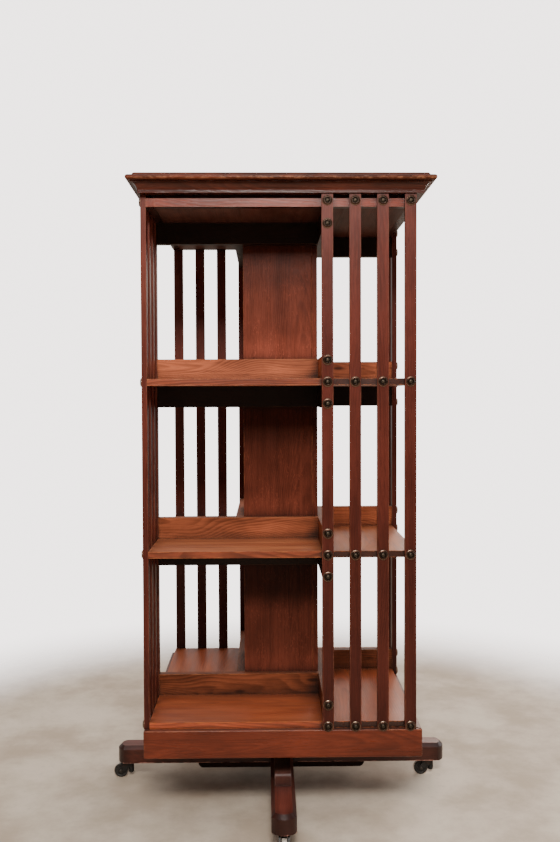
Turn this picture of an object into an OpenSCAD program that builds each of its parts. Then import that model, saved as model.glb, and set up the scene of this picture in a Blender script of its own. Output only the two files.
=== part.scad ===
// Three-tier revolving bookcase: a slatted square case that turns on a steel
// spindle, carried by a crossed foot on four swivelling casters.
// Units are millimetres. +Z is up, the floor is z = 0 and the spindle is the Z axis.
// The front is -Y. Every side of the case is the front turned by 90 degrees.

/* [Case] */
// width of the case across the outer faces of the slats
case_w = 478; // [420:1:540]
// thickness of one slat
slat_t = 9.5; // [7:0.5:14]
// width of one slat
slat_w = 19.5; // [14:0.5:28]
// centre of the innermost slat, from the spindle
slat_first = 77.5; // [72:0.5:84]
// distance from one slat's centre to the next
slat_step = 47.1; // [36:0.1:50]
// how many slats stand on each side
slats_per_side = 4; // [2:1:4]

/* [Tiers] */
// top face of the apron, where the bottom boards lie
apron_top = 177.5; // [140:0.5:220]
// thickness of every shelf board
board_t = 11.5; // [9:0.5:18]
// clear height of the bottom tier
tier_1 = 283.5; // [240:0.5:330]
// clear height of the middle tier
tier_2 = 284; // [240:0.5:330]
// clear height of the top tier
tier_3 = 291; // [240:0.5:330]

/* [Column and book stops] */
// outer width of the square column
column_w = 139; // [110:1:170]
// thickness of a column panel
panel_t = 10; // [8:0.5:15]
// thickness of a book stop
stop_t = 15.5; // [10:0.5:20]
// height of a book stop
stop_h = 39; // [25:0.5:60]

/* [Top] */
// height of the frieze rails
frieze_h = 14.2; // [10:0.1:24]
// thickness of the frieze rails
frieze_t = 15; // [12:0.5:20]
// height of the recessed neck over the frieze
neck_h = 6.3; // [3:0.1:12]
// height of the cornice's flat fillet
fillet_h = 4; // [2:0.5:8]
// radius of the cornice's hollow
cove_r = 14.8; // [10:0.1:20]
// height of the cornice's hollow
cove_h = 13; // [8:0.5:14.5]
// width of the top board across its round nosing
top_w = 520; // [460:1:600]
// thickness of the top board's nosing
nosing_h = 9.2; // [6:0.2:16]
// height of the raised step on the top board
step_h = 5.5; // [3:0.5:10]

/* [Apron and rails] */
// height of the apron
apron_h = 48; // [36:1:70]
// thickness of the apron
apron_t = 18; // [12:1:24]
// width of the two rails under the case
rail_w = 60; // [40:1:90]
// height of the two rails under the case
rail_h = 27.5; // [20:0.5:40]
// leg of a corner block
block_leg = 45; // [25:1:60]

/* [Foot] */
// length of each foot bar, tip to tip
foot_len = 640; // [560:1:760]
// width of a foot bar
foot_w = 42; // [34:1:60]
// height of a foot bar
foot_h = 33; // [24:0.5:45]
// bevel along the foot's top edges
foot_bevel = 6.5; // [3:0.5:9]
// radius of the curved tip of a foot, seen from above
foot_tip_r = 24; // [22:0.5:40]
// length of each upper bearer
bearer_len = 412; // [300:1:420]
// width of an upper bearer
bearer_w = 28.7; // [20:0.1:40]
// height of an upper bearer
bearer_h = 23; // [16:0.5:32]
// length of the doubler under the crossing
doubler_len = 324; // [200:1:400]
// thickness of the doubler under the crossing
doubler_t = 10; // [6:0.5:14]

/* [Spindle] */
// radius of the steel spindle
spindle_r = 11; // [8:0.5:16]
// radial play between the spindle and what turns on it
spindle_play = 0.05; // [0.02:0.01:0.1]

/* [Casters] */
// height of a caster, from the floor to the foot
caster_h = 33.5; // [30:0.5:45]
// radius of a caster wheel
wheel_r = 13.5; // [11:0.5:14.5]
// width of a caster wheel
wheel_w = 11; // [8:0.5:14]
// distance from the swivel axis back to the wheel's centre
trail = 19.5; // [19.5:0.5:26]
// thickness of a fork cheek
cheek_t = 3.3; // [2:0.1:5]
// radius of a wheel's axle
axle_r = 2; // [1.5:0.1:3]
// radius of a caster's swivel pin
pin_r = 3; // [2.5:0.1:3.5]

/* [Button screws] */
// radius of a button's washer
washer_r = 8.6; // [6:0.1:10]
// radius of a button's domed screw head
head_r = 4.6; // [3:0.1:6]
// radius of a button screw's shank
shank_r = 2; // [1.5:0.1:2.5]
// how far a button screw enters the wood behind the slat
shank_in = 14; // [10:0.5:20]
// distance of a stop's own screw from the shelf's screw
stop_screw_up = 37; // [28:0.5:44]

/* [Hidden] */
$fn = 64;
e = 1;
half = case_w / 2;
inner = half - slat_t;
col = column_w / 2;
z0 = apron_top;
z1 = z0 + board_t;
z2 = z1 + tier_1;
z3 = z2 + board_t;
z4 = z3 + tier_2;
z5 = z4 + board_t;
z6 = z5 + tier_3;
z_neck = z6 + frieze_h;
z_slat = z_neck + neck_h;
z_cove = z_slat + fillet_h;
z_lip = z_cove + cove_h;
lip_h = 1.8;
z_top = z_lip + lip_h;
z_step = z_top + nosing_h;
z_end = z_step + step_h;
fillet_x = half + 3;
lip_x = fillet_x + cove_r - sqrt(cove_r * cove_r - cove_h * cove_h) + 2.8;
step_x = top_w / 2 - 10;
z_foot = caster_h;
z_bearer = z_foot + foot_h;
z_base = z_bearer + bearer_h;
z_apron = apron_top - apron_h;
z_rail = apron_top - rail_h;
foot_flat = foot_len / 2 - foot_tip_r;
caster_x = foot_flat;
bore_r = spindle_r + spindle_play;
flange_h = 6;
flange_screw_x = 34;
bush_r = 17;
bush_screw_x = 24;
socket_h = 34;
z_roof = z6 - flange_h;
plate_h = 2;
plate_r = 16;
plate_screw_x = 11.5;
z_plate = z_foot - plate_h;
cheek_y = wheel_w / 2 + 0.5;
cheek_end = cheek_y + cheek_t;
glue_seam_1 = -70;
glue_seam_2 = 106;
seam = 0.2;
thread_play = 0.05;
hole_r = shank_r + thread_play;
wood_screw_r = 1.7;
frieze_screw_up = 9;
top_stop_screw_down = 29.5;
socket_screw_x = 26;
pivot_gap = 0.3;
tip_h = 6;
z_tip = z_roof - pivot_gap - tip_h;
barrel_z = 10;
barrel_r = 5.4;
bridge_z = 28;
bridge_h = 2.7;
bridge_len = 13;
block_up = 8;
block_gap = 6;
cornice_inner = 200;

module quarter(k) { rotate([0, 0, 90 * k]) children(); }

// A drill along +Y from the plane y = -from.
module drill(r, from, len) {
    translate([0, -from, 0]) rotate([-90, 0, 0]) cylinder(r = r, h = len);
}

// The centre of each button on the front face: shelf screws on every slat,
// then the stop screws on the innermost slat.
module shelf_spots(z) {
    for (i = [0 : slats_per_side - 1]) translate([slat_first + i * slat_step, 0, z]) children();
}
module stop_spots() {
    for (z = [z1 + stop_screw_up - board_t / 2, z2 + board_t / 2 - stop_screw_up,
              z2 + board_t / 2 + stop_screw_up, z4 + board_t / 2 - stop_screw_up,
              z4 + board_t / 2 + stop_screw_up, z6 - top_stop_screw_down])
        translate([slat_first, 0, z]) children();
}
module all_spots() {
    for (z = [z0 + board_t / 2, z2 + board_t / 2, z4 + board_t / 2, z6 + frieze_screw_up])
        shelf_spots(z) children();
    stop_spots() children();
}

// ---- foot ----

// A foot bar along X: bevelled on top, with a curved tip at each end.
module foot_bar() {
    intersection() {
        rotate([90, 0, 90]) translate([0, z_foot, -foot_len / 2]) linear_extrude(foot_len)
            polygon([[-foot_w / 2, 0], [foot_w / 2, 0], [foot_w / 2, foot_h - foot_bevel],
                     [foot_w / 2 - foot_bevel, foot_h], [-foot_w / 2 + foot_bevel, foot_h],
                     [-foot_w / 2, foot_h - foot_bevel]]);
        union() {
            translate([-foot_flat, -foot_w, z_foot]) cube([2 * foot_flat, 2 * foot_w, foot_h]);
            for (s = [-1, 1]) translate([s * foot_flat, 0, z_foot]) {
                cylinder(r = foot_tip_r, h = foot_h - foot_bevel);
                translate([0, 0, foot_h - foot_bevel])
                    cylinder(r1 = foot_tip_r, r2 = foot_tip_r - foot_bevel, h = foot_bevel);
            }
        }
    }
}

// The holes that caster plates and the spindle need in a foot bar along X.
module foot_holes() {
    translate([0, 0, z_foot - e]) cylinder(r = bore_r, h = foot_h + 2 * e);
    for (s = [-1, 1]) translate([s * caster_x, 0, 0]) plate_screws(thread_play, 14);
}

module foot_bar_wide() {
    color([0.32, 0.15, 0.09]) difference() {
        foot_bar();
        translate([-foot_w / 2, -foot_w, z_foot + foot_h / 2]) cube([foot_w, 2 * foot_w, foot_h]);
        foot_holes();
    }
}

module foot_bar_deep() {
    color([0.32, 0.15, 0.09]) rotate([0, 0, 90]) difference() {
        foot_bar();
        translate([-foot_w / 2, -foot_w, z_foot - foot_h / 2]) cube([foot_w, 2 * foot_w, foot_h]);
        foot_holes();
    }
}

// A bearer along X with a rounded top edge at each end.
module bearer() {
    r = 8;
    h = bearer_len / 2;
    rotate([90, 0, 0]) translate([0, 0, -bearer_w / 2]) linear_extrude(bearer_w) union() {
        translate([-h, z_bearer]) square([2 * h, bearer_h - r]);
        translate([-h + r, z_bearer]) square([2 * h - 2 * r, bearer_h]);
        for (s = [-1, 1]) translate([s * (h - r), z_base - r]) circle(r = r);
    }
}

module bearer_holes() {
    translate([0, 0, z_bearer - e]) cylinder(r = bore_r, h = bearer_h + 2 * e);
    for (s = [-1, 1]) translate([s * flange_screw_x, 0, z_base - 15 - thread_play])
        cylinder(r = hole_r, h = 20);
}

module bearer_wide() {
    color([0.30, 0.14, 0.09]) difference() {
        bearer();
        translate([-bearer_w / 2, -bearer_w, z_bearer + bearer_h / 2])
            cube([bearer_w, 2 * bearer_w, bearer_h]);
        bearer_holes();
    }
}

module bearer_deep() {
    color([0.30, 0.14, 0.09]) rotate([0, 0, 90]) difference() {
        bearer();
        translate([-bearer_w / 2, -bearer_w, z_bearer - bearer_h / 2])
            cube([bearer_w, 2 * bearer_w, bearer_h]);
        bearer_holes();
    }
}

module under_doubler() {
    h = doubler_len / 2;
    color([0.20, 0.10, 0.07]) rotate([90, 0, 0]) translate([0, 0, -foot_w / 2])
        linear_extrude(foot_w) intersection() {
            union() {
                translate([-h + doubler_t, z_foot - doubler_t])
                    square([2 * (h - doubler_t), doubler_t]);
                for (s = [-1, 1]) translate([s * (h - doubler_t), z_foot]) circle(r = doubler_t);
            }
            translate([-h, z_foot - doubler_t]) square([2 * h, doubler_t]);
        }
}

module spindle_flange() {
    color([0.16, 0.15, 0.15]) difference() {
        union() {
            translate([0, 0, z_base]) cylinder(r = 45, h = flange_h);
            translate([0, 0, z_base + flange_h]) cylinder(r1 = 24, r2 = 19, h = 14);
        }
        translate([0, 0, z_base - e]) cylinder(r = bore_r, h = 30);
        for (k = [0 : 3]) rotate([0, 0, 90 * k]) translate([flange_screw_x, 0, z_base - e])
            cylinder(r = hole_r, h = 10);
    }
}

module spindle() {
    color([0.55, 0.55, 0.56]) {
        translate([0, 0, z_foot]) cylinder(r = spindle_r, h = z_tip - z_foot);
        translate([0, 0, z_tip]) cylinder(r1 = spindle_r, r2 = 5, h = tip_h);
    }
}

// Four countersunk screws through a caster plate into the foot.
module plate_screws(play, len) {
    for (k = [0 : 3]) rotate([0, 0, 45 + 90 * k]) translate([plate_screw_x, 0, 0]) {
        translate([0, 0, z_plate + thread_play - play])
            cylinder(r1 = 3.2 + play, r2 = wood_screw_r + play, h = plate_h - thread_play + play);
        translate([0, 0, z_foot]) cylinder(r = wood_screw_r + play, h = len + play);
    }
}

module base_screws() {
    color([0.20, 0.19, 0.18]) {
        for (k = [0 : 3]) rotate([0, 0, 90 * k]) translate([flange_screw_x, 0, 0]) {
            translate([0, 0, z_base - 15]) cylinder(r = shank_r, h = 15 + flange_h);
            translate([0, 0, z_base + flange_h]) cylinder(r1 = 4.2, r2 = 3.2, h = 2.4);
        }
        for (k = [0 : 3]) rotate([0, 0, 90 * k]) translate([caster_x, 0, 0]) plate_screws(0, 14);
    }
}

module caster_plates() {
    color([0.14, 0.13, 0.12]) for (k = [0 : 3]) rotate([0, 0, 90 * k]) translate([caster_x, 0, 0])
        difference() {
            translate([0, 0, z_plate]) cylinder(r = plate_r, h = plate_h);
            translate([0, 0, z_plate - e]) cylinder(r = pin_r + 0.05, h = plate_h + 2 * e);
            plate_screws(thread_play, 4);
        }
}

module caster_pins() {
    color([0.30, 0.29, 0.28]) for (k = [0 : 3]) rotate([0, 0, 90 * k]) translate([caster_x, 0, 0]) {
        translate([0, 0, barrel_z - pivot_gap]) cylinder(r = pin_r, h = z_foot - barrel_z + pivot_gap);
        translate([0, 0, barrel_z - pivot_gap - 1.5]) cylinder(r1 = 3.6, r2 = 4.8, h = 1.5);
    }
}

// ---- casters: each is drawn with its wheel trailing towards +X ----

module fork() {
    top = bridge_z + bridge_h;
    color([0.13, 0.12, 0.12]) difference() {
        union() {
            translate([0, 0, barrel_z]) cylinder(r = barrel_r, h = bridge_z + e - barrel_z);
            translate([0, 0, bridge_z]) cylinder(r = cheek_end, h = bridge_h);
            translate([0, -cheek_end, bridge_z]) cube([bridge_len, 2 * cheek_end, bridge_h]);
            translate([0, 0, top]) cylinder(r = 7.5, h = z_plate - pivot_gap - top);
            for (s = [-1, 1]) translate([0, s * (cheek_end - cheek_t / 2) + cheek_t / 2, 0])
                rotate([90, 0, 0]) linear_extrude(cheek_t) union() {
                    polygon([[-3, top], [bridge_len, top], [trail + 4, wheel_r + 3.2],
                             [trail, wheel_r - 5], [trail - 5, wheel_r - 3], [-3, top - 4.7]]);
                    translate([trail, wheel_r]) circle(r = 5);
                }
        }
        translate([0, 0, barrel_z - e]) cylinder(r = pin_r + 0.05, h = z_foot - barrel_z);
        translate([trail, -20, wheel_r]) rotate([-90, 0, 0]) cylinder(r = axle_r + 0.03, h = 40);
    }
}

module axle() {
    color([0.42, 0.41, 0.40]) translate([trail, 0, wheel_r]) rotate([90, 0, 0]) {
        translate([0, 0, -cheek_end]) cylinder(r = axle_r, h = 2 * cheek_end);
        translate([0, 0, cheek_end]) cylinder(r1 = 3.2, r2 = 2.2, h = 1);
        translate([0, 0, -cheek_end - 1]) cylinder(r1 = 2.2, r2 = 3.2, h = 1);
    }
}

module wheel() {
    w = wheel_w / 2;
    color([0.17, 0.16, 0.15]) translate([trail, 0, wheel_r]) rotate([90, 0, 0]) rotate_extrude()
        polygon([[axle_r + 0.05, -w], [4.6, -w], [5.1, -w + 1.2], [9.2, -w + 1.2], [10.2, -w],
                 [wheel_r - 1.2, -w], [wheel_r, -w + 1.2], [wheel_r, w - 1.2], [wheel_r - 1.2, w],
                 [10.2, w], [9.2, w - 1.2], [5.1, w - 1.2], [4.6, w], [axle_r + 0.05, w]]);
}

module at_left() { translate([-caster_x, 0, 0]) rotate([0, 0, 180]) children(); }
module at_right() { translate([caster_x, 0, 0]) rotate([0, 0, 180]) children(); }
module at_front() { translate([0, -caster_x, 0]) rotate([0, 0, -90]) children(); }
module at_back() { translate([0, caster_x, 0]) rotate([0, 0, 90]) children(); }

module left_caster_fork() { at_left() fork(); }
module left_caster_axle() { at_left() axle(); }
module left_caster_wheel() { at_left() wheel(); }
module right_caster_fork() { at_right() fork(); }
module right_caster_axle() { at_right() axle(); }
module right_caster_wheel() { at_right() wheel(); }
module front_caster_fork() { at_front() fork(); }
module front_caster_axle() { at_front() axle(); }
module front_caster_wheel() { at_front() wheel(); }
module back_caster_fork() { at_back() fork(); }
module back_caster_axle() { at_back() axle(); }
module back_caster_wheel() { at_back() wheel(); }

// ---- case, from the bottom up ----

// One mitred side of the apron.
module apron_side() {
    a = half;
    b = half - apron_t;
    color([0.42, 0.19, 0.11]) translate([0, 0, z_apron]) linear_extrude(apron_h)
        polygon([[-a, -a], [a, -a], [b, -b], [-b, -b]]);
}
module apron_front() { quarter(0) apron_side(); }
module apron_right() { quarter(1) apron_side(); }
module apron_back() { quarter(2) apron_side(); }
module apron_left() { quarter(3) apron_side(); }

module corner_blocks() {
    b = half - apron_t;
    color([0.38, 0.20, 0.12]) for (k = [0 : 3]) quarter(k)
        translate([b, -b, z_apron + block_up]) linear_extrude(apron_h - block_up - block_gap)
            polygon([[0, 0], [0, block_leg], [-block_leg, 0]]);
}

module bush_holes() {
    translate([0, 0, z_rail - e]) cylinder(r = bush_r + thread_play, h = rail_h + 2 * e);
    for (k = [0 : 3]) rotate([0, 0, 90 * k]) translate([bush_screw_x, 0, z_rail - e])
        cylinder(r = hole_r, h = 16 + e + thread_play);
}

module under_rail_wide() {
    b = half - apron_t;
    color([0.36, 0.18, 0.11]) difference() {
        translate([-b, -rail_w / 2, z_rail]) cube([2 * b, rail_w, rail_h]);
        translate([-rail_w / 2, -rail_w, z_rail + rail_h / 2]) cube([rail_w, 2 * rail_w, rail_h]);
        bush_holes();
    }
}

module under_rail_deep() {
    b = half - apron_t;
    color([0.36, 0.18, 0.11]) difference() {
        translate([-rail_w / 2, -b, z_rail]) cube([rail_w, 2 * b, rail_h]);
        translate([-rail_w, -rail_w / 2, z_rail - rail_h / 2]) cube([2 * rail_w, rail_w, rail_h]);
        bush_holes();
    }
}

module guide_bush() {
    color([0.62, 0.47, 0.22]) difference() {
        union() {
            translate([0, 0, z_rail]) cylinder(r = bush_r, h = rail_h);
            translate([0, 0, z_rail - 4]) cylinder(r = 30, h = 4);
        }
        translate([0, 0, z_rail - 5]) cylinder(r = bore_r, h = rail_h + 10);
        for (k = [0 : 3]) rotate([0, 0, 90 * k]) translate([bush_screw_x, 0, z_rail - 5])
            cylinder(r = hole_r, h = 6);
    }
}

module case_screws() {
    color([0.20, 0.19, 0.18]) for (k = [0 : 3]) rotate([0, 0, 90 * k]) {
        translate([bush_screw_x, 0, z_rail - 4]) cylinder(r = shank_r, h = 20);
        translate([bush_screw_x, 0, z_rail - 6]) cylinder(r1 = 3.2, r2 = 4, h = 2);
        translate([socket_screw_x, 0, z_roof]) cylinder(r = shank_r, h = flange_h + 11);
        translate([socket_screw_x, 0, z_roof - 2]) cylinder(r1 = 3.2, r2 = 4, h = 2);
    }
}

// A shelf is four boards laid round the column like the sails of a windmill, a hair's
// breadth apart, so the end of each board carries one face's slats.
module shelf(z) {
    color([0.56, 0.29, 0.17]) for (k = [0 : 3]) quarter(k) difference() {
        translate([col, -inner, z]) cube([inner - col, inner + col - seam, board_t]);
        shelf_spots(z + board_t / 2) drill(hole_r, inner + e, shank_in + e + thread_play);
    }
}
module bottom_shelf() { shelf(z0); }
module lower_shelf() { shelf(z2); }
module upper_shelf() { shelf(z4); }

// The book stops of the bay on the right: one on and one under the boards of each tier.
module stops() {
    color([0.60, 0.34, 0.20]) difference() {
        for (z = [z1, z2 - stop_h, z3, z4 - stop_h, z5, z6 - stop_h])
            translate([col, -inner, z]) cube([stop_t, inner + col, stop_h]);
        stop_spots() drill(hole_r, inner + e, shank_in + e + thread_play);
    }
}
module book_stops_right() { quarter(0) stops(); }
module book_stops_back() { quarter(1) stops(); }
module book_stops_left() { quarter(2) stops(); }
module book_stops_front() { quarter(3) stops(); }

module column_panel() {
    color([0.46, 0.23, 0.15]) translate([-col, -col, z0]) cube([2 * col - panel_t, panel_t, z6 - z0]);
}
module column_front() { quarter(0) column_panel(); }
module column_right() { quarter(1) column_panel(); }
module column_back() { quarter(2) column_panel(); }
module column_left() { quarter(3) column_panel(); }

module slats() {
    color([0.44, 0.20, 0.13]) difference() {
        for (i = [0 : slats_per_side - 1])
            translate([slat_first + i * slat_step - slat_w / 2, -half, z0])
                cube([slat_w, slat_t, z_slat - z0]);
        all_spots() drill(hole_r, half + e, slat_t + 2 * e);
    }
}
module slats_front() { quarter(0) slats(); }
module slats_right() { quarter(1) slats(); }
module slats_back() { quarter(2) slats(); }
module slats_left() { quarter(3) slats(); }

module frieze_rail() {
    color([0.50, 0.27, 0.20]) difference() {
        translate([-inner + frieze_t, -inner, z6]) cube([2 * inner - frieze_t, frieze_t, frieze_h]);
        shelf_spots(z6 + frieze_screw_up) drill(hole_r, inner + e, shank_in + e + thread_play);
    }
}
module frieze_front() { quarter(0) frieze_rail(); }
module frieze_right() { quarter(1) frieze_rail(); }
module frieze_back() { quarter(2) frieze_rail(); }
module frieze_left() { quarter(3) frieze_rail(); }

// Three boards glued side by side, with their grain along Y.
module carcase_top() {
    b = inner - frieze_t;
    color([0.34, 0.17, 0.11]) difference() {
        for (s = [[-b, glue_seam_1], [glue_seam_1, glue_seam_2], [glue_seam_2, b]])
            translate([s[0] + seam / 2, -b, z6]) cube([s[1] - s[0] - seam, 2 * b, frieze_h]);
        for (k = [0 : 3]) rotate([0, 0, 90 * k]) translate([socket_screw_x, 0, z6 - e])
            cylinder(r = hole_r, h = 11 + e + thread_play);
    }
}

module top_socket() {
    color([0.16, 0.15, 0.15]) difference() {
        union() {
            translate([0, 0, z_roof]) cylinder(r = 36, h = flange_h);
            translate([0, 0, z_roof - socket_h]) cylinder(r = 17, h = socket_h);
        }
        translate([0, 0, z_roof - socket_h - e]) cylinder(r = bore_r, h = socket_h + e);
        for (k = [0 : 3]) rotate([0, 0, 90 * k]) translate([socket_screw_x, 0, z_roof - e])
            cylinder(r = hole_r, h = flange_h + 2 * e);
    }
}

// The cornice's outline, as half-width against height.
module cornice_outline() {
    difference() {
        polygon([[0, z_neck], [inner - 9.5, z_neck], [inner - 9.5, z_slat], [fillet_x, z_slat],
                 [fillet_x, z_cove], [lip_x, z_cove], [lip_x, z_top], [0, z_top]]);
        intersection() {
            translate([fillet_x + cove_r, z_cove]) circle(r = cove_r);
            translate([fillet_x - 2, z_cove]) square([30, cove_h]);
        }
    }
}

module cornice_side() {
    b = cornice_inner;
    c = lip_x + 5;
    color([0.30, 0.14, 0.10]) intersection() {
        rotate([90, 0, -90]) translate([0, 0, -lip_x]) linear_extrude(2 * lip_x) cornice_outline();
        translate([0, 0, z_neck]) linear_extrude(z_top - z_neck)
            polygon([[-b, -b], [b, -b], [c, -c], [-c, -c]]);
    }
}
module cornice_front() { quarter(0) cornice_side(); }
module cornice_right() { quarter(1) cornice_side(); }
module cornice_back() { quarter(2) cornice_side(); }
module cornice_left() { quarter(3) cornice_side(); }

// The top board's section: a round nosing below a stepped, rounded upper edge.
module top_outline() {
    n = nosing_h / 2;
    r = step_h - 0.5;
    union() {
        translate([-top_w / 2 + n, z_top]) square([top_w - 2 * n, nosing_h]);
        for (s = [-1, 1]) translate([s * (top_w / 2 - n), z_top + n]) circle(r = n);
        translate([-step_x, z_step - e]) square([2 * step_x, e + 0.5]);
        translate([-step_x + r, z_step]) square([2 * (step_x - r), step_h]);
        for (s = [-1, 1]) translate([s * (step_x - r), z_end - r]) circle(r = r);
    }
}

module top_board() {
    color([0.48, 0.25, 0.17]) intersection() {
        rotate([90, 0, 0]) translate([0, 0, -top_w / 2]) linear_extrude(top_w) top_outline();
        rotate([90, 0, 90]) translate([0, 0, -top_w / 2]) linear_extrude(top_w) top_outline();
    }
}

// ---- button screws, on all four faces ----

module button_washers() {
    color([0.34, 0.26, 0.16]) for (k = [0 : 3]) quarter(k) all_spots()
        translate([0, -half, 0]) rotate([90, 0, 0]) rotate_extrude()
            polygon([[hole_r, 0], [washer_r, 0], [washer_r, 0.9], [washer_r - 1, 1.5],
                     [washer_r - 1.9, 1.7], [head_r + 1.3, 2.9], [head_r + 0.5, 2.9],
                     [head_r + 0.1, 1.2], [hole_r, 1.2]]);
}

module button_screws() {
    dome_r = (head_r * head_r + 2.2 * 2.2) / 4.4;
    color([0.44, 0.34, 0.20]) for (k = [0 : 3]) quarter(k) all_spots()
        translate([0, -half, 0]) rotate([90, 0, 0]) difference() {
            union() {
                translate([0, 0, -slat_t - shank_in]) cylinder(r = shank_r, h = slat_t + shank_in + 1.3);
                intersection() {
                    translate([0, 0, 3.4 - dome_r]) sphere(r = dome_r);
                    translate([0, 0, 1.2]) cylinder(r = head_r - 0.1, h = 4);
                }
            }
            rotate([0, 0, 25]) translate([-head_r, -0.45, 2.5]) cube([2 * head_r, 0.9, 3]);
        }
}

foot_bar_wide();
foot_bar_deep();
bearer_wide();
bearer_deep();
under_doubler();
spindle_flange();
spindle();
base_screws();
caster_plates();
caster_pins();
left_caster_fork();
left_caster_axle();
left_caster_wheel();
right_caster_fork();
right_caster_axle();
right_caster_wheel();
front_caster_fork();
front_caster_axle();
front_caster_wheel();
back_caster_fork();
back_caster_axle();
back_caster_wheel();
apron_front();
apron_right();
apron_back();
apron_left();
corner_blocks();
under_rail_wide();
under_rail_deep();
guide_bush();
case_screws();
bottom_shelf();
lower_shelf();
upper_shelf();
book_stops_front();
book_stops_right();
book_stops_back();
book_stops_left();
column_front();
column_right();
column_back();
column_left();
slats_front();
slats_right();
slats_back();
slats_left();
frieze_front();
frieze_right();
frieze_back();
frieze_left();
carcase_top();
top_socket();
cornice_front();
cornice_right();
cornice_back();
cornice_left();
top_board();
button_washers();
button_screws();
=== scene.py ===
import math
import random

import bmesh
import bpy
import numpy as np
from mathutils import Matrix, Vector


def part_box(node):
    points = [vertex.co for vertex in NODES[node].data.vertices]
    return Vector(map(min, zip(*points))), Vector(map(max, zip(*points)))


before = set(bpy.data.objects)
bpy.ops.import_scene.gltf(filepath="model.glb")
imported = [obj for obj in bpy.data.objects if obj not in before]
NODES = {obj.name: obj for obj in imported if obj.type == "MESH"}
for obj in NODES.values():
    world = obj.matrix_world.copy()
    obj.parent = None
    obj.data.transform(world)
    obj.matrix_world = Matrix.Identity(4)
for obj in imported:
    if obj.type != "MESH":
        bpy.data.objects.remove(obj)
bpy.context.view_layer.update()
SIDES = ("front", "right", "back", "left")
X, Y, Z = 0, 1, 2

# ---- places on the bookcase, in metres ----

SHELF_HEIGHTS = [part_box(shelf)[0].z for shelf in ("bottom_shelf", "lower_shelf", "upper_shelf")]
TIER_HEIGHT = SHELF_HEIGHTS[2] - SHELF_HEIGHTS[1]
TIER_MIDDLES = [height + TIER_HEIGHT / 2 for height in SHELF_HEIGHTS]
# a board longer than this many tiers runs past several of them
TALL_BOARD = 1.5
# a stop this far above the middle of its tier hangs under the shelf over it
HANGING_ABOVE = 0.06
# the slats cover a shelf's edge from this far off the middle of a side
SLATS_START = 0.066
SLATS_FADE = 0.006
NOSE_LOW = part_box("top_board")[0].z
# the band along the nosing's lower edge that is worn and painted with a highlight
NOSE_PALE_BAND = (NOSE_LOW + 0.0005, NOSE_LOW + 0.0070)
WHEEL_WIDTH = 0.011

# a column's painted light changes from one tier's to the next within this far of a shelf
LIGHT_CHANGE = 0.005
ABOVE_THE_TOP = 2.0
SHELF_EDGES = (0.0, SHELF_HEIGHTS[1] - LIGHT_CHANGE, SHELF_HEIGHTS[1] + LIGHT_CHANGE,
               SHELF_HEIGHTS[2] - LIGHT_CHANGE, SHELF_HEIGHTS[2] + LIGHT_CHANGE, ABOVE_THE_TOP)
# painted light and shade on a column at each share of the way up a tier: pale near its foot, dark in
# the shade under the shelf above
LIGHT_UP_A_TIER = ((0.22, 2.0), (0.36, 1.35), (0.55, 1.1), (0.68, 0.75), (0.9, 0.7))

# ---- patterns in the wood: how many to a metre along, across and through the grain ----

WANDERS = (2.4, 7.0, 7.0)
STREAKS = (4.0, 260.0, 260.0)
PORES = (55.0, 1500.0, 1500.0)
CLOUDS = (7.0, 22.0, 22.0)
FLAKES = (150.0, 420.0, 420.0)
FLAKE_PATCHES = (20.0, 30.0, 30.0)
BLOTCHES = (9.0, 26.0, 26.0)
CHIPS = (45.0, 160.0, 160.0)
PALE_FLECKS = (70.0, 190.0, 190.0)
HAZE = (6.0, 60.0, 60.0)
POLISH = (9.0, 60.0, 60.0)
DENTS = (22.0, 34.0, 34.0)
KNOTS_ALONG, KNOTS_ACROSS = 9.0, 30.0
RINGS_A_METRE = 330.0

# the heart of the tree: how far below a board, the width over which boards have it to their
# sides, its slope to the grain and the width of its wander
HEART_DEPTH = 0.035
HEART_ASIDE = 0.16
HEART_SLOPE = 0.05
HEART_WANDER = 0.09

# towards the middle of the case, as long as 1 at 250 mm from it
INWARD = (-4.0, -4.0, 0.0)

# how far a board's own random number, from 0 to 1, moves it through the patterns
BOARD_SHIFT = (13.7, 5.3, 2.9)
METAL_SHIFT = (3.7, 5.3, 2.9)
# turns one board's random number into the next one's
GOLDEN = 0.618


# ---- marks on the boards ----


def solids_of(mesh):
    """The vertex numbers of each separate solid in a mesh, by following shared corners."""
    microns = 1e6
    places = np.empty(len(mesh.vertices) * 3, np.float32)
    mesh.vertices.foreach_get("co", places)
    places = places.reshape(-1, 3).astype(float)
    _, corner = np.unique(np.round(places * microns).astype(np.int64), axis=0, return_inverse=True)
    corner = corner.reshape(-1)
    parent = list(range(corner.max() + 1))

    def root(i):
        while parent[i] != i:
            parent[i] = parent[parent[i]]
            i = parent[i]
        return i

    for face in mesh.polygons:
        first = root(corner[face.vertices[0]])
        for v in face.vertices[1:]:
            parent[root(corner[v])] = first
    roots = np.array([root(c) for c in corner])
    return places, [np.flatnonzero(roots == r) for r in np.unique(roots)]


def hangs(height):
    """Whether a board with its middle at this height hangs under a shelf."""
    return any(middle + HANGING_ABOVE < height < middle + TIER_HEIGHT / 2 for middle in TIER_MIDDLES)


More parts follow.
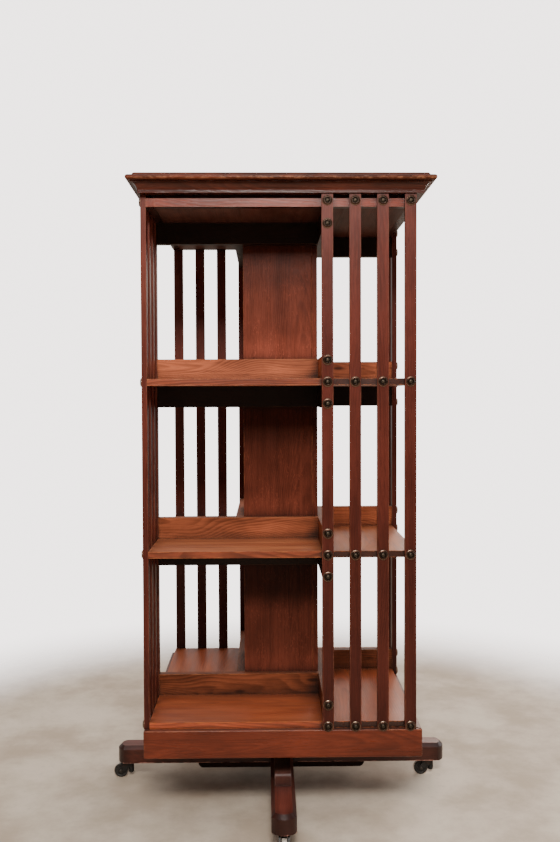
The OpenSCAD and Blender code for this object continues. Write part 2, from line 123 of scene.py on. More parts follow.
def mark_boards(o, grain=None, tier_tones_and_light=(1.0, 1.0, 1.0), hanging_shade=None):
    """Gives every board of a node its own coordinates: along, across and through the grain from its
    middle, half its size the same way, a random number of its own, and how pale it is. That is
    painted
    light: it goes by its tier, paler higher up where more light falls and on the stops partly their
    own colour, or by height on a board taller than a tier; a board that hangs under a shelf gets
    painted shade."""
    places, solids = solids_of(o.data)
    wood = np.zeros_like(places)
    half = np.zeros_like(places)
    seed = np.zeros(len(places))
    tone = np.zeros(len(places))
    chance = random.Random(o.name)
    for solid in sorted(solids, key=lambda s: tuple(places[s].mean(0).round(4))):
        low, high = places[solid].min(0), places[solid].max(0)
        size = high - low
        middle = (low + high) / 2
        order = sorted(range(3), key=lambda i: -size[i])
        if grain is not None:
            order = [grain] + [i for i in order if i != grain]
        wood[solid] = (places[solid] - middle)[:, order]
        half[solid] = (size / 2)[order]
        seed[solid] = chance.random()
        # painted light: a tall board grows paler with height, others take their tier's value
        if size[Z] > TIER_HEIGHT * TALL_BOARD:
            tone[solid] = np.interp(places[solid][:, Z], TIER_MIDDLES, tier_tones_and_light)
        else:
            tone[solid] = tier_tones_and_light[sum(middle[Z] > shelf for shelf in SHELF_HEIGHTS[1:])]
        # painted shade on a board that hangs under a shelf
        if hanging_shade and hangs(middle[Z]):
            tone[solid] = hanging_shade
    for name, values in (("wood", wood), ("half", half)):
        layer = o.data.attributes.new(name, "FLOAT_VECTOR", "POINT")
        layer.data.foreach_set("vector", values.astype(np.float32).ravel())
    for name, values in (("seed", seed), ("tone", tone)):
        layer = o.data.attributes.new(name, "FLOAT", "POINT")
        layer.data.foreach_set("value", values.astype(np.float32))


def soften(o, width, segments=3, angle=30):
    """Rounds a CAD node's sharp edges with modifiers. Its own vertices and faces stay in place, and
    are shaded smooth."""
    normals = o.data.attributes.get("custom_normal")
    if normals is not None:
        o.data.attributes.remove(normals)
    o.data.polygons.foreach_set("use_smooth", [True] * len(o.data.polygons))
    weld = o.modifiers.new("weld", "WELD")
    weld.merge_threshold = 1e-6
    flat = o.modifiers.new("flat", "DECIMATE")
    flat.decimate_type = "DISSOLVE"
    flat.angle_limit = math.radians(0.5)
    bevel = o.modifiers.new("bevel", "BEVEL")
    bevel.width = width
    bevel.segments = segments
    bevel.limit_method = "ANGLE"
    bevel.angle_limit = math.radians(angle)
    bevel.use_clamp_overlap = True
    shade = o.modifiers.new("shade", "WEIGHTED_NORMAL")
    shade.weight = 60
    shade.keep_sharp = False


# ---- a short way to write materials ----


class Shader:
    """One material and its nodes."""

    # sockets of a Mix node that mixes colours
    FACTOR, COLOUR_A, COLOUR_B, MIXED = 0, 6, 7, 2

    def __init__(self, name):
        self.material = bpy.data.materials.new(name)
        self.material.use_nodes = True
        self.tree = self.material.node_tree
        self.surface = self.tree.nodes["Principled BSDF"]

    def node(self, kind, *values, **settings):
        made = self.tree.nodes.new("ShaderNode" + kind)
        for key, value in settings.items():
            setattr(made, key, value)
        for socket, value in zip(made.inputs, values):
            self.put(socket, value)
        return made

    def put(self, socket, value):
        if isinstance(value, bpy.types.NodeSocket):
            self.tree.links.new(value, socket)
        elif value is not None:
            socket.default_value = value

    def set(self, **values):
        for name, value in values.items():
            self.put(self.surface.inputs[name.replace("_", " ")], value)

    def math(self, operation, *values, clamp=False):
        return self.node("Math", *values, operation=operation, use_clamp=clamp).outputs[0]

    def times(self, a, b):
        return self.math("MULTIPLY", a, b)

    def around(self, middle, noise, spread, clamp=False):
        """A value that a noise from 0 to 1 moves by half the spread to either side of its middle."""
        return self.math("MULTIPLY_ADD", noise, spread, middle - spread / 2, clamp=clamp)

    def distance(self, a, b):
        """How far a point is from an axis, from its two coordinates at right angles to it."""
        return self.math("SQRT", self.math("ADD", self.times(a, a), self.times(b, b)))

    def vector(self, operation, *values):
        made = self.node("VectorMath", operation=operation)
        for socket, value in zip(made.inputs, values):
            self.put(socket, value)
        return made.outputs["Value" if operation in ("DOT_PRODUCT", "LENGTH") else "Vector"]

    def scaled(self, vector, by):
        return self.vector("MULTIPLY", vector, by)

    def moved(self, vector, way, share):
        """A place moved some share of a way."""
        shift = self.vector("SCALE", way)
        self.put(shift.node.inputs["Scale"], share)
        return self.vector("ADD", vector, shift)

    def split(self, vector):
        return self.node("SeparateXYZ", vector).outputs[:3]

    def join(self, x, y, z):
        return self.node("CombineXYZ", x, y, z).outputs[0]

    def noise(self, vector, scale=1.0, detail=2.0, rough=0.5, twist=0.0):
        made = self.node("TexNoise")
        made.noise_dimensions = "3D"
        for name, value in (("Vector", vector), ("Scale", scale), ("Detail", detail),
                            ("Roughness", rough), ("Distortion", twist)):
            self.put(made.inputs[name], value)
        return made.outputs["Fac"]

    def pattern(self, place, to_a_metre, detail=2.0, rough=0.5, twist=0.0):
        """A noise stretched to so many to a metre each way."""
        return self.noise(self.scaled(place, to_a_metre), 1.0, detail, rough, twist)

    def cells(self, vector):
        """How far a place is from the nearest of many scattered points."""
        made = self.node("TexVoronoi", feature="F1")
        self.put(made.inputs["Vector"], vector)
        self.put(made.inputs["Scale"], 1.0)
        return made.outputs["Distance"]

    def ramp(self, value, low, high, to_low=0.0, to_high=1.0, kind="SMOOTHSTEP"):
        made = self.node("MapRange", value, low, high, to_low, to_high)
        made.interpolation_type = kind
        return made.outputs[0]

    def curve(self, value, points):
        """A smooth run through points, each a value and what it becomes."""
        points = list(points)
        total = points[0][1]
        for (low, start), (high, end) in zip(points, points[1:]):
            total = self.math("ADD", total, self.ramp(value, low, high, 0.0, end - start))
        return total

    def mix(self, factor, a, b, blend="MIX"):
        made = self.node("Mix", data_type="RGBA", blend_type=blend)
        for socket, value in ((self.FACTOR, factor), (self.COLOUR_A, a), (self.COLOUR_B, b)):
            self.put(made.inputs[socket], value)
        return made.outputs[self.MIXED]

    def dimmed(self, tint, by):
        """A colour multiplied by one number."""
        return self.mix(1.0, tint, self.join(by, by, by), "MULTIPLY")

    def attribute(self, name, out="Vector"):
        return self.node("Attribute", attribute_name=name).outputs[out]

    def bump(self, height, strength, distance, normal=None):
        made = self.node("Bump")
        for name, value in (("Strength", strength), ("Distance", distance), ("Height", height),
                            ("Normal", normal)):
            self.put(made.inputs[name], value)
        return made.outputs["Normal"]


def colour(*rgb, by=1.0):
    return (*[by * part for part in rgb], 1.0)


# near-black for soot and dark joints, and the colour of painted shade
SOOT_AND_SHADE = colour(0.012, 0.008, 0.007)
RUST = colour(0.10, 0.038, 0.016)
BRONZE_DIRT = colour(0.03, 0.018, 0.012)


# ---- oak ----


class Board:
    """Where a point lies in its own board, from the marks on it. A plank is the width of the boards
    that a wide one is glued up from, and joint is then 1 on the lines between them."""

    JOINT = (0.0012, 0.0004)

    def __init__(self, s, plank):
        self.wood, self.half = s.attribute("wood"), s.attribute("half")
        self.seed, self.tone = s.attribute("seed", "Fac"), s.attribute("tone", "Fac")
        self.along, self.across, self.through = s.split(self.wood)
        if plank:
            place_in = s.math("DIVIDE", self.across, plank)
            number = s.math("FLOOR", place_in)
            self.seed = s.math("FRACT", s.math("MULTIPLY_ADD", number, GOLDEN, self.seed))
            self.across = s.math("MULTIPLY_ADD", s.math("FRACT", place_in), plank, -plank / 2)
            start, end = [plank / 2 - inset for inset in self.JOINT]
            self.joint = s.ramp(s.math("ABSOLUTE", self.across), start, end)
        self.cut = s.moved(s.join(self.along, self.across, self.through), BOARD_SHIFT, self.seed)
        place = s.node("TexCoord").outputs
        self.place, self.normal = place["Object"], place["Normal"]
        self.height = s.split(self.place)[Z]
        self.facing = s.split(self.normal)


def edge_nearness(s, board):
    """Metres to the board's nearest edge, from its coordinates: the second smallest of the three
    distances to its faces."""
    gaps = s.vector("SUBTRACT", board.half, s.vector("ABSOLUTE", board.wood))
    a, b, c = s.split(gaps)
    low = s.math("MINIMUM", a, b)
    high = s.math("MAXIMUM", a, b)
    return s.math("MAXIMUM", low, s.math("MINIMUM", high, c))


def year_rings(s, board, figure):
    """The dark late wood of each year, in circles round the heart of the tree. The heart lies
    beside and below the board and wanders as much as figure says."""
    wander = s.around(0.0, s.pattern(board.cut, WANDERS), HEART_WANDER * figure)
    lean = s.around(0.0, board.seed, HEART_ASIDE)
    side = s.math("ADD", s.math("ADD", board.across, lean), wander)
    below = s.math("ADD", board.through, HEART_DEPTH)
    deep = s.math("MULTIPLY_ADD", board.along, HEART_SLOPE, below)
    ring = s.math("FRACT", s.times(s.distance(side, deep), RINGS_A_METRE))
    return s.times(s.ramp(ring, 0.15, 0.8), s.ramp(ring, 1.0, 0.86))


def open_pores(s, board, late):
    """Short dark pores, most of them in the early wood."""
    early = s.math("SUBTRACT", 1.0, late)
    pore = s.ramp(s.pattern(board.cut, PORES), 0.54, 0.68)
    return s.times(pore, s.ramp(early, 0.2, 0.9, 0.35, 1.0))


def grain_tint(s, board, body, contrast, lines, late, streak, pore):
    """The colour that rings, streaks, pores and a slow change along the board give together."""
    cloud = s.pattern(board.cut, CLOUDS, 4.0, 0.6)
    grain = s.math("ADD", s.times(late, lines), s.times(streak, 0.9))
    grain = s.math("ADD", grain, s.math("MULTIPLY_ADD", cloud, 0.9, -0.50))
    pale = colour(*body, by=1.0 + 0.42 * contrast)
    dark = colour(*body, by=1.0 - 0.45 * contrast)
    tint = s.mix(s.ramp(grain, 0.22, 1.0), pale, dark)
    return s.mix(s.times(pore, 0.5), tint, colour(*body, by=0.30))


def flaked(s, board, tint, body, fleck):
    """The bright flakes of quartered oak, lying across the grain."""
    flake = s.ramp(s.pattern(board.cut, FLAKES, 2.0, 0.5, 0.8), 0.56, 0.64)
    patch = s.ramp(s.pattern(board.cut, FLAKE_PATCHES, 1.0), 0.42, 0.6)
    return s.mix(s.times(s.times(flake, patch), fleck), tint, colour(*body, by=2.2))


def knotted(s, board, tint, body, knots):
    """Scattered dark knots, long with the grain."""
    along, across, _ = s.split(board.cut)
    spots = s.cells(s.join(s.times(along, KNOTS_ALONG), s.times(across, KNOTS_ACROSS), 0.0))
    return s.mix(s.ramp(spots, 0.15, 0.06, 0.0, knots), tint, colour(*body, by=0.15))


def stain_and_tier_light(s, board, tint, contrast, tiers):
    """The stain is blotchy, and every board took it a little differently. The board's tone and the
    tiers add painted light by tier, and on the column the painted shade under each shelf.
    """
    blotch = s.pattern(board.cut, BLOTCHES, 3.0, 0.55)
    spread = 0.22 * contrast
    tint = s.dimmed(tint, s.ramp(blotch, 0.32, 0.68, 1.0 - spread, 1.0 + spread))
    own = s.times(board.tone, s.around(1.0, board.seed, 0.22))
    # painted light and shade on the column: paler in the top tier, dark under each shelf, paler
    # towards each foot
    if tiers:
        own = s.times(own, s.curve(board.height, zip(SHELF_EDGES, np.repeat(tiers, 2))))
        top = SHELF_HEIGHTS[0] + 3 * TIER_HEIGHT
        rise = s.math("FRACT", s.ramp(board.height, SHELF_HEIGHTS[0], top, 0.0, 3.0, "LINEAR"))
        own = s.times(own, s.curve(rise, LIGHT_UP_A_TIER))
    return s.dimmed(tint, own)


def slat_shade_on_edges(s, board, edge_tone, slat_shade_kept):
    """How much of its colour a shelf's edge keeps, in the open and behind the slats, which stand at
    the right-hand end of each side, seen from outside. Behind the slats the darkening is painted
    shade."""
    sideways = s.join(s.times(board.facing[Y], -1.0), board.facing[X], 0.0)
    behind = s.vector("DOT_PRODUCT", board.place, sideways)
    kept = s.ramp(behind, SLATS_START - SLATS_FADE, SLATS_START + SLATS_FADE, edge_tone, slat_shade_kept)
    level = s.ramp(s.math("ABSOLUTE", board.facing[Z]), 0.3, 0.8)
    return s.math("MULTIPLY_ADD", s.math("SUBTRACT", 1.0, kept), level, kept)


def inner_face_shade(s, board, inner_shade_kept):
    """How much painted shade darkens a face that looks down or towards the middle of the case."""
    inward = s.vector("DOT_PRODUCT", s.scaled(board.place, INWARD), board.normal)
    hidden = s.math("MAXIMUM", inward, s.times(board.facing[Z], -1.0))
    return s.ramp(hidden, 0.3, 0.6, 0.0, 1.0 - inner_shade_kept)


def pale_edges(s, board, edge_wear_and_glint, pale_band):
    """Where the edges are pale: the varnish worn off them, partly a painted highlight, and flecks
    between the two heights of a band, worn and partly a painted highlight along the nosing.
    """
    chips = s.pattern(board.cut, CHIPS, 4.0, 0.7)
    bite = s.math("MULTIPLY_ADD", chips, 0.0075, -0.0031)
    left = s.math("SUBTRACT", edge_nearness(s, board), bite)
    pale_edge_mask = s.times(s.ramp(left, 0.0006, -0.0006), edge_wear_and_glint)
    if pale_band:
        low, high = pale_band
        middle, spread = (low + high) / 2, (high - low) / 2
        from_middle = s.math("ABSOLUTE", s.math("SUBTRACT", board.height, middle))
        near = s.ramp(from_middle, spread, spread * 0.2)
        flecks = s.ramp(s.pattern(board.cut, PALE_FLECKS, 4.0, 0.75), 0.47, 0.60, 0.12, 1.0)
        pale_edge_mask = s.math("MAXIMUM", pale_edge_mask, s.times(s.times(flecks, near), 0.45))
    return pale_edge_mask


def corner_shade_and_dirt(s, haze, reach, grime):
    """Painted shade, with old polish and dirt, where other surfaces are near: ambient occlusion
    darkens the colour in corners and joints.
    """
    corner = s.node("AmbientOcclusion", samples=4)
    s.put(corner.inputs["Distance"], reach)
    closed = s.math("SUBTRACT", 0.85, corner.outputs["AO"])
    return s.ramp(s.math("MULTIPLY_ADD", haze, 0.35, closed), 0.16, 0.62, 0.0, grime)


def worn_gloss(s, board, gloss, pale_edge_mask, dust_and_sheen_mask):
    """How rough the varnish is: uneven, and rougher where it is rubbed or dusty."""
    rough = s.around(gloss, s.pattern(board.cut, POLISH, 4.0, 0.6), 0.24)
    rough = s.math("ADD", rough, s.times(pale_edge_mask, 0.2))
    return s.math("ADD", rough, s.times(dust_and_sheen_mask, 0.2), clamp=True)


def surface_relief(s, board, late, streak, pore):
    """Fine relief of the grain over shallow dents."""
    height = s.math("MULTIPLY_ADD", pore, -0.4, s.times(streak, 0.35))
    height = s.math("MULTIPLY_ADD", late, 0.15, height)
    fine = s.bump(height, 0.35, 0.0003)
    return s.bump(s.pattern(board.cut, DENTS), 0.25, 0.0012, fine)


def oak(name, body, bare_and_glint=(0.34, 0.11, 0.045), contrast=1.0, edge_wear_and_glint=0.5, fleck=0.0, figure=1.0,
        dust_and_sheen=0.1, gloss=0.3, shine=0.3, knots=0.0, dust_and_sheen_tint=(0.36, 0.27, 0.22), inner_shade_kept=1.0, grime=0.85,
        end_tone=1.0, slat_shade_kept=None, edge_tone=1.0, pale_band=None, reach=0.028, lines=0.22,
        shade_below_tone=0.0, tiers=None, plank=0.0):
    """Stained and varnished oak. body is its mean colour, bare_and_glint is where the stain has worn
    off
    and where pale edges paint a highlight, and dust_and_sheen_tint is what rests on its upper faces:
    dirt, and on the shelves and feet mostly painted sheen and light. gloss is its roughness and shine
    is how much it reflects. inner_shade_kept is how much of its colour a face towards the middle of
    the case keeps under painted shade, end_tone how much its ends keep, above 1 a painted highlight,
    and edge_tone and slat_shade_kept how much its edges keep in the open and in the painted shade
    behind the slats. grime is how dark the painted shade and dirt in the corners are, reach how far
    they spread, and pale_band two heights between which an edge is rubbed pale, with a painted
    highlight.
    lines is how strongly the year rings show, and boards with a tone under shade_below_tone are
    painted almost black as shade. tiers is how pale a tall board is at each tier, painted light and
    shade, and plank the width of the boards that a wide one is glued up from."""
    s = Shader(name)
    board = Board(s, plank)
    late = year_rings(s, board, figure)
    streak = s.pattern(board.cut, STREAKS, 5.0, 0.62)
    pore = open_pores(s, board, late)
    tint = grain_tint(s, board, body, contrast, lines, late, streak, pore)
    if fleck:
        tint = flaked(s, board, tint, body, fleck)
    if knots:
        tint = knotted(s, board, tint, body, knots)
    tint = stain_and_tier_light(s, board, tint, contrast, tiers)
    # painted shade on the shelf edges behind the slats
    if slat_shade_kept:
        tint = s.dimmed(tint, slat_shade_on_edges(s, board, edge_tone, slat_shade_kept))
    # darker or paler within 34 mm of the ends; on the bearer paler, a painted highlight on its
    # rounded ends
    if end_tone != 1.0:
        from_end = s.math("SUBTRACT", s.split(board.half)[0], s.math("ABSOLUTE", board.along))
        tint = s.dimmed(tint, s.ramp(from_end, 0.006, 0.034, end_tone, 1.0))
    if plank:
        tint = s.mix(s.times(board.joint, 0.7), tint, SOOT_AND_SHADE)

    # pale edges: worn varnish, and on the feet and bearers a painted highlight
    pale_edge_mask = pale_edges(s, board, edge_wear_and_glint, pale_band)
    tint = s.mix(pale_edge_mask, tint, colour(*bare_and_glint))
    # painted shade on faces that look down or towards the middle of the case
    if inner_shade_kept < 1.0:
        tint = s.mix(inner_face_shade(s, board, inner_shade_kept), tint, SOOT_AND_SHADE)
    # painted shade: stops that hang under a shelf are painted almost black
    if shade_below_tone:
        tint = s.mix(s.ramp(board.tone, shade_below_tone, 0.8 * shade_below_tone, 0.0, 0.85), tint, SOOT_AND_SHADE)

    # dust and scuffs lie on what faces up, with painted sheen and light: on the shelves and feet it
    # is mostly painted
    haze = s.pattern(board.cut, HAZE, 4.0, 0.6)
    upward = s.ramp(board.facing[Z], 0.75, 0.98)
    dust_and_sheen_mask = s.times(upward, s.ramp(haze, 0.3, 0.75, 0.3 * dust_and_sheen, dust_and_sheen))
    tint = s.mix(dust_and_sheen_mask, tint, colour(*dust_and_sheen_tint))
    # painted shade and dirt: ambient occlusion darkens corners and joints
    tint = s.mix(corner_shade_and_dirt(s, haze, reach, grime), tint, SOOT_AND_SHADE)

    rough = worn_gloss(s, board, gloss, pale_edge_mask, dust_and_sheen_mask)
    s.set(Base_Color=tint, Roughness=rough, Specular_IOR_Level=shine)
    s.set(Normal=surface_relief(s, board, late, streak, pore))
    return s.material


# ---- metals ----


def every_way(to_a_metre):
    return (to_a_metre, to_a_metre, to_a_metre)


def metal(name, body, worn, rough, polish=0.0, metallic=1.0, rust=0.0):
    """Dark metal with worn bright places and blooms of rust."""
    s = Shader(name)
    cut = s.moved(s.attribute("wood"), METAL_SHIFT, s.attribute("seed", "Fac"))
    grime = s.pattern(cut, every_way(160.0), 4.0, 0.65)
    fine = s.pattern(cut, every_way(900.0), 3.0, 0.6)
    tint = s.mix(s.ramp(grime, 0.45, 0.75, 0.0, polish), body, worn)
    if rust:
        bloom = s.pattern(cut, every_way(70.0), 5.0, 0.7)
        tint = s.mix(s.ramp(bloom, 0.52, 0.7, 0.0, rust), tint, RUST)
    s.set(Base_Color=tint, Metallic=metallic)
    s.set(Roughness=s.around(rough, grime, 0.3, clamp=True))
    s.set(Normal=s.bump(fine, 0.25, 0.0003))
    return s.material


def button_bronze(name, rings, across, rough=0.3):
    """Turned bronze in rings about its axis: each ring is a radius in metres and the colour from
    there to the next. across are the two of the piece's own coordinates at right angles to the
    axis."""
    s = Shader(name)
    wood = s.attribute("wood")
    axes = s.split(wood)
    radius = s.distance(axes[across[0]], axes[across[1]])
    cut = s.moved(wood, METAL_SHIFT, s.attribute("seed", "Fac"))
    grime = s.pattern(cut, every_way(300.0), 4.0, 0.65)
    uneven, blend = 0.0006, 0.0003
    worn = s.math("MULTIPLY_ADD", grime, 2 * uneven, s.math("SUBTRACT", radius, uneven))
    tint = colour(*rings[0][1])
    for start, rgb in rings[1:]:
        tint = s.mix(s.ramp(worn, start - blend, start + blend), tint, colour(*rgb))
    tint = s.mix(s.ramp(grime, 0.5, 0.8, 0.0, 0.5), tint, BRONZE_DIRT)
    s.set(Base_Color=tint, Metallic=0.85)
    s.set(Roughness=s.around(rough, grime, 0.3, clamp=True))
    s.set(Normal=s.bump(grime, 0.2, 0.0002))
    return s.material


def wheel_iron(name, radius):
    """A caster wheel: black sides and a tread worn pale by the floor."""
    s = Shader(name)
    wood = s.attribute("wood")
    x, y, z = s.split(wood)
    grime = s.pattern(wood, every_way(260.0), 5.0, 0.65)
    from_side = s.ramp(s.math("ABSOLUTE", z), WHEEL_WIDTH / 2 - 0.0008, WHEEL_WIDTH / 2 - 0.0024)
    tread = s.times(from_side, s.ramp(s.distance(x, y), radius - 0.0012, radius - 0.0004))
    body = s.mix(s.ramp(grime, 0.4, 0.7), colour(0.012, 0.011, 0.010), colour(0.05, 0.043, 0.038))
    pale = s.mix(s.ramp(grime, 0.35, 0.65), colour(0.42, 0.35, 0.28), colour(0.68, 0.60, 0.52))
    s.set(Base_Color=s.mix(tread, body, pale), Metallic=0.25)
    s.set(Roughness=s.around(0.505, grime, 0.25))
    s.set(Normal=s.bump(grime, 0.4, 0.0004))
    return s.material


# ---- the finishes ----

FINISHES = {
    # the feet's pale edges paint a highlight on the chamfers, and their top film a painted sheen;
    # their ends are darker
    "foot": oak("foot_oak", (0.054, 0.0115, 0.0066), (0.55, 0.26, 0.20), edge_wear_and_glint=0.75, dust_and_sheen=0.17,
                gloss=0.33, shine=0.33, dust_and_sheen_tint=(0.68, 0.19, 0.145), end_tone=0.4),
    # the bearer's paler ends and pale edges paint a highlight on its rounded ends
    "bearer": oak("bearer_oak", (0.048, 0.0125, 0.0080), (0.20, 0.13, 0.11), edge_wear_and_glint=0.5, dust_and_sheen=0.05,
                  gloss=0.5, shine=0.4, end_tone=1.15),
    "under": oak("under_oak", (0.022, 0.0095, 0.0072), edge_wear_and_glint=0.1, gloss=0.6, shine=0.1),
    "apron": oak("apron_oak", (0.107, 0.0192, 0.0080), contrast=0.9, edge_wear_and_glint=0.5, figure=1.2,
                 shine=0.25),
    # on the shelves the orange top film is mostly painted light, and the edges behind the slats get
    # painted shade
    "shelf": oak("shelf_oak", (0.195, 0.040, 0.0150), (0.42, 0.12, 0.035), edge_wear_and_glint=0.6, shine=0.42,
                 dust_and_sheen=0.8, dust_and_sheen_tint=(0.53, 0.180, 0.074), gloss=0.36, grime=0.7, reach=0.045,
                 slat_shade_kept=0.22, edge_tone=0.9, lines=0.35),
    # the same painted light on the top faces and painted shade behind the slats as on the other
    # shelves
    "bottom": oak("bottom_oak", (0.200, 0.037, 0.0130), (0.46, 0.110, 0.028), edge_wear_and_glint=0.9, shine=0.42,
                  dust_and_sheen=0.75, dust_and_sheen_tint=(0.42, 0.112, 0.042), gloss=0.30, grime=0.7, reach=0.045,
                  slat_shade_kept=0.2, edge_tone=1.9, lines=0.35),
    # the stops that hang under a shelf are painted almost black as shade
    "stop": oak("stop_oak", (0.130, 0.0350, 0.0150), (0.36, 0.13, 0.05), contrast=1.1, edge_wear_and_glint=0.5,
                figure=2.0, knots=0.8, gloss=0.4, shine=0.16, lines=0.3, shade_below_tone=0.3),
    # the column's tiers paint light by tier, and shade under each shelf
    "column": oak("column_oak", (0.064, 0.0150, 0.0086), contrast=0.8, edge_wear_and_glint=0.3, fleck=0.4,
                  gloss=0.32, shine=0.08, reach=0.05, tiers=(0.96, 1.06, 1.72)),
    "slat": oak("slat_oak", (0.080, 0.0165, 0.0105), (0.24, 0.085, 0.045), contrast=0.7, edge_wear_and_glint=0.3,
                gloss=0.36, shine=0.14),
    # the frieze's inner and lower faces get painted shade
    "frieze": oak("frieze_oak", (0.185, 0.0330, 0.0180), edge_wear_and_glint=0.25, gloss=0.28, shine=0.22,
                  inner_shade_kept=0.1),
    "cornice": oak("cornice_oak", (0.050, 0.0100, 0.0048), edge_wear_and_glint=0.15, gloss=0.27, shine=0.25,
                   grime=0.4),
    "top": oak("top_oak", (0.080, 0.0160, 0.0068), (0.42, 0.17, 0.085), edge_wear_and_glint=0.45, shine=0.1,
               dust_and_sheen=0.07, gloss=0.26, lines=0.4, pale_band=NOSE_PALE_BAND, plank=0.14),
    # its greyish pink body partly paints the sheen on the underside of the top
    "inner": oak("inner_oak", (0.075, 0.0285, 0.0215), edge_wear_and_glint=0.1, gloss=0.45, shine=0.12),
}
# painted light: how pale the boards of a finish are on each tier, from the lowest, paler higher up
# where more light falls and on the stops partly their own colour; and painted shade under a shelf
EVEN_TONES = (1.0, 1.0, 1.0)
TIER_TONE_AND_LIGHT = {"stop": (1.08, 2.25, 2.7), "slat": (0.64, 0.9, 1.4)}
HANGING_SHADE = {"stop": 0.25}

IRON = metal("black_iron", colour(0.018, 0.017, 0.016), colour(0.10, 0.09, 0.08), 0.5,
             polish=0.4, metallic=0.6, rust=0.35)
STEEL = metal("oiled_steel", colour(0.34, 0.33, 0.32), colour(0.55, 0.54, 0.52), 0.32, polish=0.5)
DARK_STEEL = metal("dark_steel", colour(0.07, 0.062, 0.055), colour(0.25, 0.23, 0.2), 0.42,
                   polish=0.5, rust=0.3)
BRASS = metal("turned_brass", colour(0.50, 0.34, 0.12), colour(0.74, 0.56, 0.26), 0.3, polish=0.6)
# the pale outer ring is worn bronze with a painted highlight on the rim
WASHER_RINGS = ((0.0, (0.040, 0.025, 0.018)), (0.0058, (0.075, 0.034, 0.022)),
                (0.0078, (0.21, 0.145, 0.100)))
SCREW_RINGS = ((0.0, (0.060, 0.045, 0.031)), (0.0026, (0.030, 0.021, 0.015)))
WASHER = button_bronze("bronzed_washer", WASHER_RINGS, (X, Y))
SCREW = button_bronze("bronzed_screw", SCREW_RINGS, (Y, Z), 0.5)


def coat(o, material):
    o.data.materials.clear()
    o.data.materials.append(material)


def finish_wood(prefixes, finish, width, grain=None):
    """Finishes the nodes whose names start so. width is that of their rounded edges, and grain the
    axis that it runs along where that isn't each board's longest side."""
    for name, o in NODES.items():
        if name.startswith(prefixes):
            mark_boards(o, grain, TIER_TONE_AND_LIGHT.get(finish, EVEN_TONES), HANGING_SHADE.get(finish))
            soften(o, width)
            coat(o, FINISHES[finish])


def finish_metal(prefixes, material, width, angle=30):
    """Finishes the nodes whose names start or end so. Edges sharper than the angle are rounded."""
    for name, o in NODES.items():
        if name.startswith(prefixes) or name.endswith(prefixes):
            mark_boards(o)
            soften(o, width, 2, angle)
            coat(o, material)


finish_wood(("foot_bar",), "foot", 0.0022)
finish_wood(("bearer",), "bearer", 0.0012)
finish_wood(("under_doubler",), "under", 0.0012)
finish_wood(("apron",), "apron", 0.0018)
finish_wood(("corner_blocks", "under_rail"), "inner", 0.0010)
finish_wood(("carcase_top",), "inner", 0.0006, Y)
finish_wood(("lower_shelf", "upper_shelf"), "shelf", 0.0016)
finish_wood(("bottom_shelf",), "bottom", 0.0016)
finish_wood(("book_stops",), "stop", 0.0018)
finish_wood(("column",), "column", 0.0008, Z)
finish_wood(("slats",), "slat", 0.0014, Z)
finish_wood(("frieze",), "frieze", 0.0008)
finish_wood(("cornice",), "cornice", 0.0005)
finish_wood(("top_board",), "top", 0.0006, X)

finish_metal(("spindle_flange", "top_socket", "caster_plates", "_caster_fork"), IRON, 0.0006)
finish_metal(("_caster_axle", "caster_pins"), DARK_STEEL, 0.0003)
finish_metal(("base_screws", "case_screws"), DARK_STEEL, 0.0003)
finish_metal(("guide_bush",), BRASS, 0.0006)
finish_metal(("button_washers",), WASHER, 0.0002, 40)
finish_metal(("button_screws",), SCREW, 0.0002, 40)

# by its full name, since the flange's name starts with the spindle's
spindle = NODES["spindle"]
mark_boards(spindle)
soften(spindle, 0.0005)
coat(spindle, STEEL)

for side in SIDES:
    wheel = NODES[side + "_caster_wheel"]
    mark_boards(wheel)
    soften(wheel, 0.0006, 3, 20)
    low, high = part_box(wheel.name)
    coat(wheel, wheel_iron(side + "_wheel_iron", (high.z - low.z) / 2))


# ---- the room ----

FLOOR_RADIUS = 9.0
# distances from the middle between which the floor fades out
FLOOR_FADE = (0.74, 1.35)
BACKDROP = (3.6, 3.36, 3.28)
# how warm the light of the room is: its green and blue to one of red
ROOM_GREEN, ROOM_BLUE = 0.92, 0.85
SENSOR_WIDTH = 36.0


def floor():
    """A pale floor that fades into the white of the studio on all sides, for the eye only."""
    mesh = bpy.data.meshes.new("floor")
    shape = bmesh.new()
    bmesh.ops.create_circle(shape, cap_ends=True, segments=96, radius=FLOOR_RADIUS)
    shape.to_mesh(mesh)
    shape.free()
    o = bpy.data.objects.new("floor", mesh)
    bpy.context.scene.collection.objects.link(o)
    s = Shader("pale_floor")
    place = s.node("TexCoord").outputs["Object"]
    cloud = s.noise(place, 5.0, 6.0, 0.62)
    speck = s.noise(place, 70.0, 4.0, 0.7)
    tint = s.mix(s.ramp(cloud, 0.35, 0.65), colour(0.46, 0.365, 0.275), colour(0.68, 0.58, 0.47))
    tint = s.mix(s.ramp(speck, 0.5, 0.8, 0.0, 0.3), tint, colour(0.36, 0.30, 0.24))
    s.set(Base_Color=tint, Roughness=0.7)
    s.set(Normal=s.bump(speck, 0.15, 0.002))
    fade = s.ramp(s.vector("LENGTH", place), *FLOOR_FADE)
    seen = s.times(fade, s.node("LightPath").outputs["Is Camera Ray"])
    clear = s.node("BsdfTransparent")
    both = s.node("MixShader", seen, s.surface.outputs[0], clear.outputs[0])
    s.tree.links.new(both.outputs[0], s.tree.nodes["Material Output"].inputs["Surface"])
    mesh.materials.append(s.material)


def softbox(name, place, target, size, power, tint=(1.0, 1.0, 1.0)):
    light = bpy.data.lights.new(name, "AREA")
    light.shape = "RECTANGLE"
    light.size, light.size_y = size
    light.energy = power
    light.color = tint
    o = bpy.data.objects.new(name, light)
    o.location = place
    o.rotation_euler = (Vector(target) - Vector(place)).to_track_quat("-Z", "Y").to_euler()
    o.visible_camera = False
    bpy.context.scene.collection.objects.link(o)


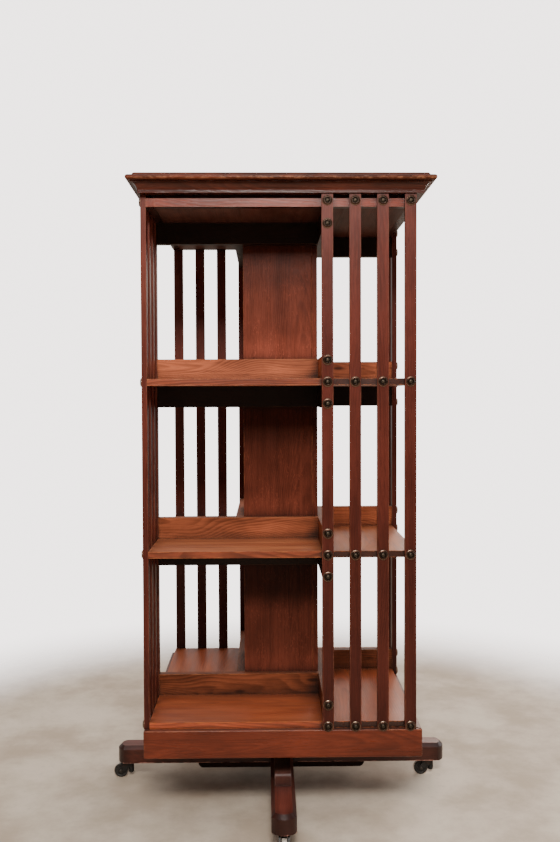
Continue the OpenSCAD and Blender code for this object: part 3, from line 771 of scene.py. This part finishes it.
def studio(backdrop, front, sides, back):
    """The room: a white backdrop to the eye. Its light is dim from the front, stronger from the sides
    and strongest from behind, where the real object stands close to a white wall."""
    world = bpy.data.worlds.new("studio")
    world.use_nodes = True
    tree = world.node_tree
    place = tree.nodes.new("ShaderNodeTexCoord")
    axes = tree.nodes.new("ShaderNodeSeparateXYZ")
    tree.links.new(place.outputs["Generated"], axes.inputs[0])
    light = tree.nodes.new("ShaderNodeValToRGB")
    light.color_ramp.interpolation = "EASE"
    for stop, strength in ((0.15, front), (0.5, sides), (0.9, back)):
        point = light.color_ramp.elements.new(stop)
        point.color = (strength, ROOM_GREEN * strength, ROOM_BLUE * strength, 1.0)
    light.color_ramp.elements.remove(light.color_ramp.elements[0])
    light.color_ramp.elements.remove(light.color_ramp.elements[-1])
    # the way from front to back runs from -1 to 1, and the ramp from 0 to 1
    turn = tree.nodes.new("ShaderNodeMath")
    turn.operation = "MULTIPLY_ADD"
    turn.inputs[1].default_value = 0.5
    turn.inputs[2].default_value = 0.5
    tree.links.new(axes.outputs[Y], turn.inputs[0])
    tree.links.new(turn.outputs[0], light.inputs[0])
    path = tree.nodes.new("ShaderNodeLightPath")
    seen = tree.nodes.new("ShaderNodeMix")
    seen.data_type = "RGBA"
    seen.inputs[Shader.COLOUR_B].default_value = colour(*backdrop)
    tree.links.new(path.outputs["Is Camera Ray"], seen.inputs[Shader.FACTOR])
    tree.links.new(light.outputs[0], seen.inputs[Shader.COLOUR_A])
    tree.links.new(seen.outputs[Shader.MIXED], tree.nodes["Background"].inputs["Color"])
    bpy.context.scene.world = world


def camera(place, yaw, pitch, roll, lens):
    """Looks along +Y, turned by yaw towards +X, down by pitch and about the view by roll."""
    data = bpy.data.cameras.new("camera")
    data.lens = lens
    data.sensor_width = SENSOR_WIDTH
    o = bpy.data.objects.new("camera", data)
    turn = Matrix.Rotation(-math.radians(yaw), 4, "Z")
    turn = turn @ Matrix.Rotation(math.radians(90.0 - pitch), 4, "X")
    turn = turn @ Matrix.Rotation(math.radians(roll), 4, "Z")
    o.matrix_world = Matrix.Translation(place) @ turn
    bpy.context.scene.collection.objects.link(o)
    bpy.context.scene.camera = o


floor()
studio(BACKDROP, front=0.12, sides=0.28, back=0.66)
softbox("lamp", (0.0, -2.35, 1.95), (0.0, 0.0, 0.6), (0.45, 0.4), 54.0, (1.0, 0.96, 0.90))
softbox("sail", (0.0, -2.9, 2.7), (0.0, 0.0, 0.5), (2.2, 1.5), 46.0, (1.0, 0.97, 0.93))
softbox("ceiling", (0.0, -0.2, 3.2), (0.0, 0.0, 0.0), (3.0, 3.0), 42.0)
softbox("window", (2.7, 0.9, 1.3), (0.0, 0.0, 0.6), (1.8, 1.8), 28.0)
softbox("back", (1.45, 3.0, 1.9), (0.0, 0.0, 0.6), (1.6, 1.2), 46.0, (1.0, 0.82, 0.70))
camera((-0.0264, -1.7734, 0.7512), yaw=0.854, pitch=1.633, roll=-0.2016, lens=38.71)
